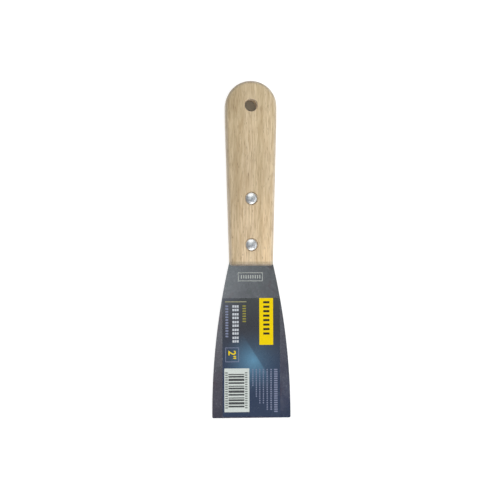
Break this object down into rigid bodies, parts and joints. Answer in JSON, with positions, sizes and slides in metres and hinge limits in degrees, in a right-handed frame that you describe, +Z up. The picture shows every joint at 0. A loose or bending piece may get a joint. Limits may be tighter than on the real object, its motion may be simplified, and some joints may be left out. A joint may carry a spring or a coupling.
{
  "type": "flexible putty knife",
  "caption": "Flexible putty knife: thin flared steel blade whose tang is riveted into a slotted, round-ended wooden handle with a hanging hole; film label on the blade.",
  "frame": {"origin": "middle of the bounding box at the height of the handle's back face, which is the surface that the tool lies on", "axes": "+Y from the blade's tip to the handle's round end, +X across the width, +Z up through the handle's thickness towards the labelled side"},
  "size_m": [0.05, 0.214, 0.014],
  "materials": {
    "handle_wood": "clear satin on pale hardwood",
    "blade_steel": "polished",
    "rivet_steel": "bright nickel plate",
    "label_film": "printed film"
  },
  "bodies": {
    "root": {"handle": "handle_wood", "blade": "blade_steel", "rivet_lower_male": "rivet_steel", "rivet_lower_female": "rivet_steel", "rivet_upper_male": "rivet_steel", "rivet_upper_female": "rivet_steel", "label": "label_film"}
  },
  "joints": []
}
